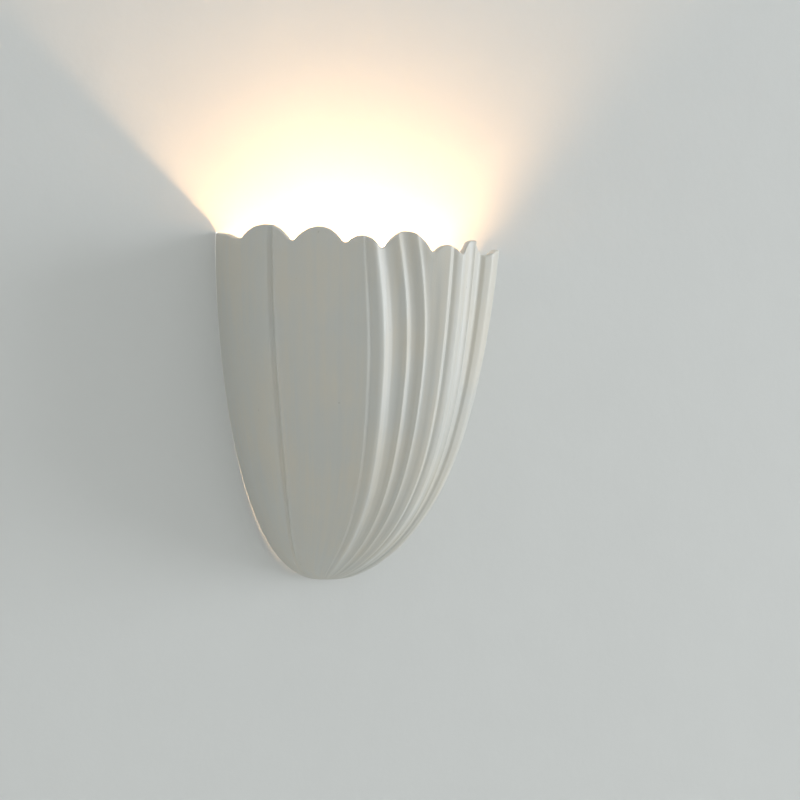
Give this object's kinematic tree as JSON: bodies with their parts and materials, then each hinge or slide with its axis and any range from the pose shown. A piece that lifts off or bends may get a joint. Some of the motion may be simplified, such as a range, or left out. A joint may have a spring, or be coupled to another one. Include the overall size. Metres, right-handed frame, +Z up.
{
  "type": "wall sconce uplighter",
  "caption": "Half-cup wall uplighter: a fluted cast shell with a scalloped rim hangs on a steel wall plate that carries a capsule lamp in a ceramic holder.",
  "frame": {"origin": "centre of the two wall slots, on the wall", "axes": "+Y into the wall, +Z up, +X to the right as seen from the room; the lamp stands out towards -Y"},
  "size_m": [0.2202, 0.1081, 0.2687],
  "materials": {
    "cast_plaster": "matte cast plaster, unglazed",
    "brass_insert": "turned",
    "zinc_screw": "zinc plated",
    "nylon": "natural nylon",
    "plate_paint": "white powder coat",
    "zinc_sheet": "zinc plated sheet",
    "holder_ceramic": "thin glaze",
    "block_plastic": "white nylon",
    "grommet_rubber": "matte",
    "tinned_brass": "tinned",
    "lead_brown": "silicone",
    "lead_blue": "silicone",
    "lead_green": "silicone, yellow stripe",
    "bulb_plastic": "white",
    "bulb_diffuser": "frosted, lit",
    "led_phosphor": "LED strip on a core",
    "steel_wire": "bright wire"
  },
  "bodies": {
    "mounting": {"wall_plate": "plate_paint", "lamp_arm": "zinc_sheet", "arm_screws": "zinc_screw", "arm_nuts": "zinc_screw", "lamp_holder": "holder_ceramic", "holder_contacts": "brass_insert", "holder_screws": "zinc_screw", "holder_nuts": "zinc_screw", "terminal_block": "block_plastic", "terminal_tubes": "brass_insert", "terminal_screws": "zinc_screw", "block_screw": "zinc_screw", "block_nut": "zinc_screw", "cable_grommet": "grommet_rubber", "ring_terminal": "tinned_brass", "earth_washer": "zinc_screw", "earth_screw": "zinc_screw", "earth_nut": "zinc_screw", "live_lead": "lead_brown", "neutral_lead": "lead_blue", "earth_lead": "lead_green"},
    "shell": {"shell": "cast_plaster", "shell_inserts": "brass_insert", "hanger_pins": "zinc_screw", "hanger_washers": "nylon"},
    "lamp": {"bulb_base": "bulb_plastic", "bulb_cover": "bulb_diffuser", "led_core": "led_phosphor", "bulb_loops": "steel_wire"}
  },
  "joints": [
    {"name": "shell_lift", "type": "slide", "parent": "mounting", "child": "shell", "axis": [0, 0, 1], "range_m": [0, 0.018]},
    {"name": "bulb_pull", "type": "slide", "parent": "mounting", "child": "lamp", "axis": [0, 0, 1], "range_m": [0, 0.03]}
  ]
}
